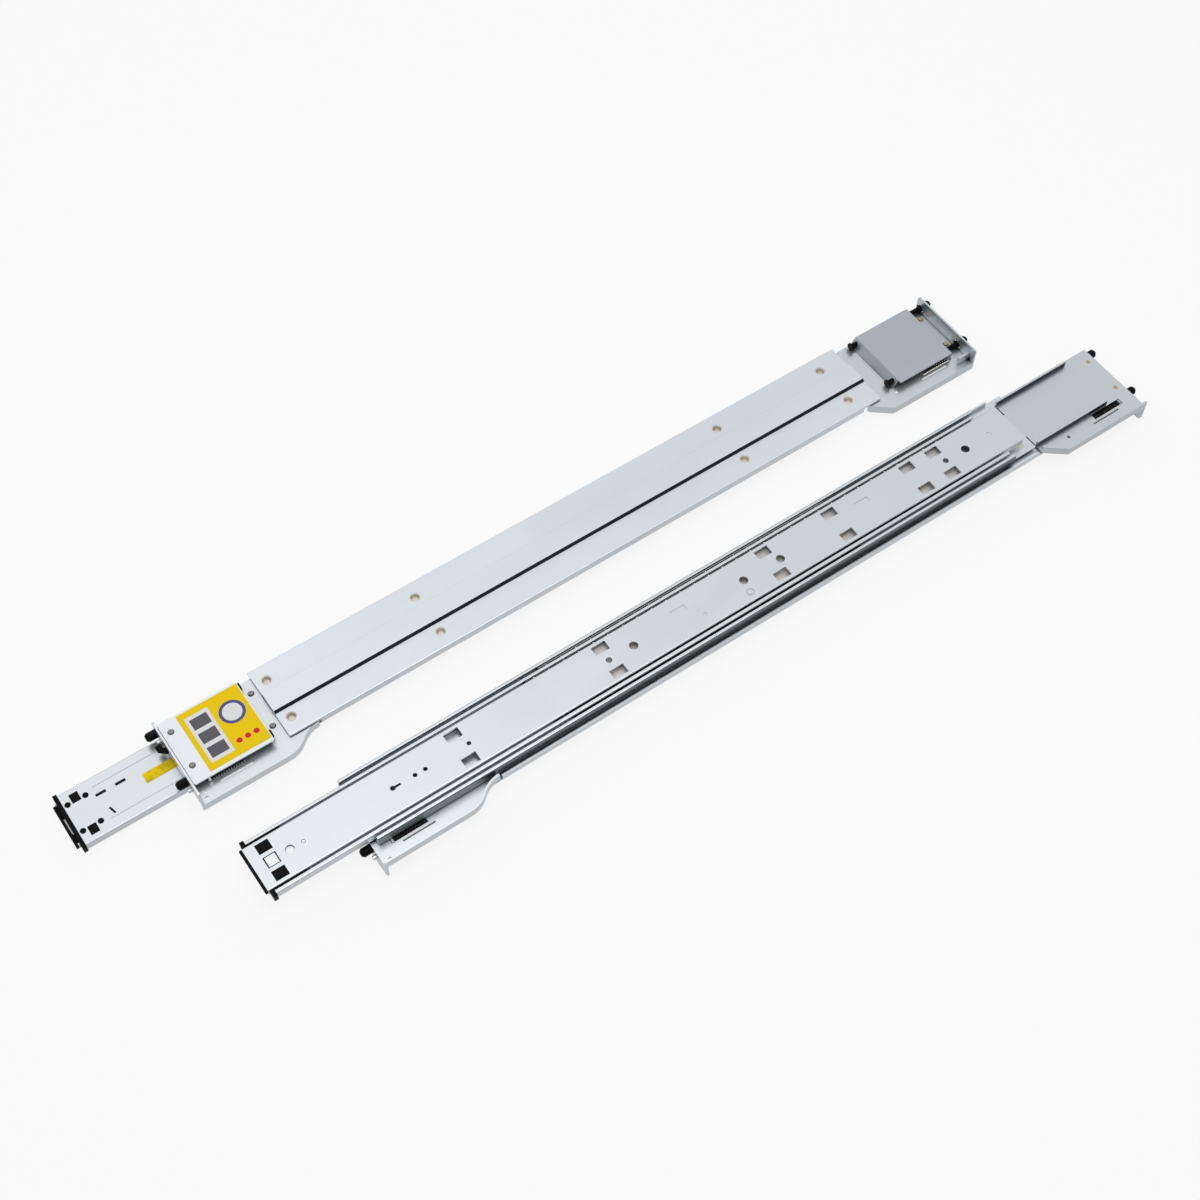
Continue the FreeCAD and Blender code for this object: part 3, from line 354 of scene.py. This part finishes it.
def label(side):
    # yellow film: a pale panel with grey bars at one end, a ring and a row of dots at the other
    look = labelLook
    paint = Paint("label_" + side)
    low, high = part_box("front_label_" + side)
    x, y = paint.axes()
    along = (x - low.x) / (high.x - low.x)
    across = (y - low.y) / (high.y - low.y)
    ratio = (high.y - low.y) / (high.x - low.x)

    def distance(placeX, placeY):
        return ((along - placeX) ** 2.0 + ((across - placeY) * ratio) ** 2.0) ** 0.5

    colour = paint.blend(inside(along, across, look["panelBox"]), look["yellow"], look["panel"])
    for bar in look["bars"]:
        colour = paint.blend(inside(along, across, (*look["barEnds"], *bar)), colour, look["grey"])
    reach = distance(*look["dialPlace"])
    ring = (reach < look["dialOuter"]) * (reach > look["dialInner"])
    colour = paint.blend(ring, colour, look["blue"])
    colour = paint.blend(reach < look["dialInner"], colour, look["panel"])
    for place in look["dots"]:
        spot = distance(place, look["dotRow"])
        colour = paint.blend(spot < look["dotSize"], colour, look["red"])
    wave = paint.noise(look["wave"], look["waveDetail"])
    normal = paint.bump(wave, look["waveDepth"], look["waveStrength"])
    rough = look["rough"] + wave * look["waveRough"]
    return paint.finish(colour=colour, rough=rough, normal=normal, gloss=look["gloss"])


tagLook = {"colour": (1.0, 0.72, 0.0), "worn": (0.72, 0.52, 0.0), "wornEdge": (0.4, 0.7),
           "cloud": 0.004, "cloudDetail": 3.0, "rough": 0.40, "cloudRough": 0.1, "gloss": 0.15}


def tag():
    # plain yellow film with duller patches
    paint = Paint("yellow_label")
    cloud = paint.noise(tagLook["cloud"], tagLook["cloudDetail"])
    worn = cloud.smooth(*tagLook["wornEdge"])
    colour = paint.blend(worn, tagLook["colour"], tagLook["worn"])
    rough = tagLook["rough"] + cloud * tagLook["cloudRough"]
    return paint.finish(colour=colour, rough=rough, gloss=tagLook["gloss"])


finishes = {name: steel(name) for name in steelLook}
finishes.update({name: black(name) for name in blackLook})
finishes["ball_steel"] = ballSteel()
finishes["yellow_label"] = tag()
print("finishes made:", len(finishes))

# how wide each node's sharp edges are rounded, in metres
softEdge = {
    "outer_member": 0.00035, "support_plate": 0.00030, "front_bracket": 0.00030,
    "rear_bracket": 0.00030, "front_latch_plate": 0.00050, "rear_latch_plate": 0.00050,
    "middle_member": 0.00025, "inner_member": 0.00025, "middle_bumper": 0.00035,
    "inner_bumper": 0.00035, "middle_clips": 0.00020, "front_hook": 0.00030,
    "release_lever": 0.00020, "plate_rivets": 0.00025,
}
# in degrees, faces that turn less than flat are joined, and edges that turn more than edgeTurn
# are rounded
softening = {"merge": 1e-6, "flat": 0.4, "edgeTurn": 32, "segments": 2}


def standIn(node, ending):
    # a copy of the node that is shown in its place, moves with it and keeps its slot
    copy = bpy.data.objects.new(node + ending, nodes[node].data.copy())
    bpy.context.scene.collection.objects.link(copy)
    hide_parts(node)
    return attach(copy, bodyOf[node])


def softened(node, width):
    # a merged copy of the node whose sharp edges are rounded by width
    copy = standIn(node, "_soft")
    flat = math.radians(softening["flat"])
    mesh = bmesh.new()
    mesh.from_mesh(copy.data)
    bmesh.ops.remove_doubles(mesh, verts=mesh.verts, dist=softening["merge"])
    bmesh.ops.dissolve_limit(mesh, angle_limit=flat, verts=mesh.verts, edges=mesh.edges)
    mesh.to_mesh(copy.data)
    mesh.free()
    bevel = copy.modifiers.new("bevel", "BEVEL")
    bevel.width = width
    bevel.segments = softening["segments"]
    bevel.limit_method = "ANGLE"
    bevel.angle_limit = math.radians(softening["edgeTurn"])
    bevel.harden_normals = True
    copy.data.shade_smooth()
    weights = copy.modifiers.new("even", "WEIGHTED_NORMAL")
    weights.keep_sharp = True
    return copy


def squeezed(node):
    # a copy of a latch spring with a mesh of its own, which moves with its body
    copy = standIn(node, "_squeezed")
    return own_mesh(copy)


def shown(node, kind):
    # what stands for the node: a spring copy, a softened copy, or the node itself
    if kind.endswith("latch_spring"):
        return squeezed(node)
    if kind in softEdge:
        return softened(node, softEdge[kind])
    return nodes[node]


# nodes whose sheet looks unlike the rest of their slot
ownFinish = {"front_bracket": "bracket_steel", "rear_bracket": "channel_steel",
             "front_latch_plate": "front_cover", "support_plate": "plate_steel",
             "plate_rivets": "rivet_pale"}
for node in sorted(nodes):
    kind, side = node.rsplit("_", 1)
    if kind == "front_label":
        finish = label(side)
    else:
        finish = finishes[ownFinish.get(kind, slotOf[node])]
    thing = shown(node, kind)
    thing.data.materials.clear()
    thing.data.materials.append(finish)
print("pieces dressed")

# tones are what the floor and sky give to light on the rails
# shares are how white they are to the eye, and then in what steel and film reflect
studio = {
    "floorSize": 6.0, "floorDrop": 0.0002, "paleTone": 0.95, "deepTone": 0.30,
    "floorShares": (0.86, 0.65), "skyShares": (1.0, 0.45),
    "skyLow": (0.03, 0.0306, 0.0318), "skyHigh": (0.74, 0.74, 0.74),
    "skyLean": 0.4, "skyEdge": (-0.3, 1.0),
    "key": {"power": 1.6, "size": 1.4, "place": (-0.55, 1.0, 1.5)},
    "fill": {"power": 6, "size": 1.0, "place": (0.1, -0.1, 1.8)},
}


def whiteness(paint, shares):
    # how much of the pale background this ray is shown
    eye, gloss = shares
    rays = paint.node("ShaderNodeLightPath")
    mirrored = rays["Is Glossy Ray"] + rays["Is Transmission Ray"]
    return rays["Is Camera Ray"] * eye + mirrored * gloss


def floor():
    size = studio["floorSize"]
    mesh = bpy.data.meshes.new("floor")
    corners = np.array([(-1, -1, 0), (1, -1, 0), (1, 1, 0), (-1, 1, 0)]) * size
    mesh.from_pydata(corners.tolist(), [], [(0, 1, 2, 3)])
    plane = bpy.data.objects.new("floor", mesh)
    bpy.context.scene.collection.objects.link(plane)
    plane.location.z = -studio["floorDrop"]
    paint = Paint("floor_white")
    seen = paint.node("ShaderNodeLightPath")["Is Camera Ray"]
    tone = paint.blend(seen, (studio["deepTone"],) * 3, (studio["paleTone"],) * 3)
    matte = paint.node("ShaderNodeBsdfDiffuse", {}, {"Color": tone})["BSDF"]
    glow = {"Color": (1, 1, 1, 1), "Strength": 1.0}
    white = paint.node("ShaderNodeEmission", {}, glow)["Emission"]
    share = whiteness(paint, studio["floorShares"])
    mixed = paint.node("ShaderNodeMixShader", {}, {0: share, 1: matte, 2: white})["Shader"]
    paint.fill(paint.output.inputs["Surface"], mixed)
    mesh.materials.append(paint.material)


class Dome(Paint):
    # the same maker of nodes, on the world's own tree
    def __init__(self, world):
        world.use_nodes = True
        self.tree = world.node_tree
        self.tree.nodes.clear()
        self.output = self.tree.nodes.new("ShaderNodeOutputWorld")


def sky():
    # a soft dome, pale overhead and towards +Y and dim at the other horizon, and white to the eye
    world = bpy.data.worlds.new("sky")
    bpy.context.scene.world = world
    paint = Dome(world)
    way = paint.node("ShaderNodeTexCoord")["Generated"]
    parts = paint.node("ShaderNodeSeparateXYZ", {}, {0: way})
    height = parts["Z"] + parts["Y"] * studio["skyLean"]
    rise = height.smooth(*studio["skyEdge"])
    colour = paint.blend(rise, studio["skyLow"], studio["skyHigh"])
    colour = paint.blend(whiteness(paint, studio["skyShares"]), colour, (1.0, 1.0, 1.0))
    back = paint.node("ShaderNodeBackground", {}, {"Color": colour})["Background"]
    paint.fill(paint.output.inputs["Surface"], back)


def lamp(name):
    # an area lamp that points at the middle of the pair
    look = studio[name]
    data = bpy.data.lights.new(name, "AREA")
    data.energy = look["power"]
    data.size = look["size"]
    thing = bpy.data.objects.new(name, data)
    bpy.context.scene.collection.objects.link(thing)
    thing.location = look["place"]
    thing.rotation_euler = (-Vector(look["place"])).to_track_quat("-Z", "Y").to_euler()


# in degrees, yaw turns to the right of +Y and pitch looks down
# offset is the foot of the right rail's front pins in the camera's axes: right, down and ahead
# the foot is ahead metres in front of the flange, and focal is a share of the sensor's width
view = {"yaw": 35.0379, "pitch": 57.0862, "roll": 0.3992, "focal": 1878.35 / 1200,
        "sensor": 36, "offset": (-0.290886, 0.115506, 1.272048), "ahead": 0.001}


def camera():
    # the view's turn is roll, then pitch, then yaw, from a level look along +Y
    yaw, pitch, roll = (math.radians(view[key]) for key in ("yaw", "pitch", "roll"))
    level = Matrix(((1, 0, 0), (0, 0, -1), (0, 1, 0)))
    tilt = Matrix.Rotation(roll, 3, "Z") @ Matrix.Rotation(pitch, 3, "X")
    turn = (tilt @ level @ Matrix.Rotation(yaw, 3, "Z")).transposed()
    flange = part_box("front_bracket_right")[0]
    low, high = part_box("outer_member_right")
    pinFoot = Vector((flange.x - view["ahead"], (low.y + high.y) / 2, 0.0))
    spot = turn @ -Vector(view["offset"]) + pinFoot
    data = bpy.data.cameras.new("camera")
    data.sensor_width = view["sensor"]
    data.lens = view["sensor"] * view["focal"]
    thing = bpy.data.objects.new("camera", data)
    bpy.context.scene.collection.objects.link(thing)
    flip = Matrix(((1, 0, 0), (0, -1, 0), (0, 0, -1)))  # a camera looks along its own -Z
    thing.matrix_world = Matrix.Translation(spot) @ (turn @ flip).to_4x4()
    bpy.context.scene.camera = thing


floor()
sky()
lamp("key")
lamp("fill")
camera()
bpy.context.scene.view_settings.view_transform = "Standard"
print("studio ready")
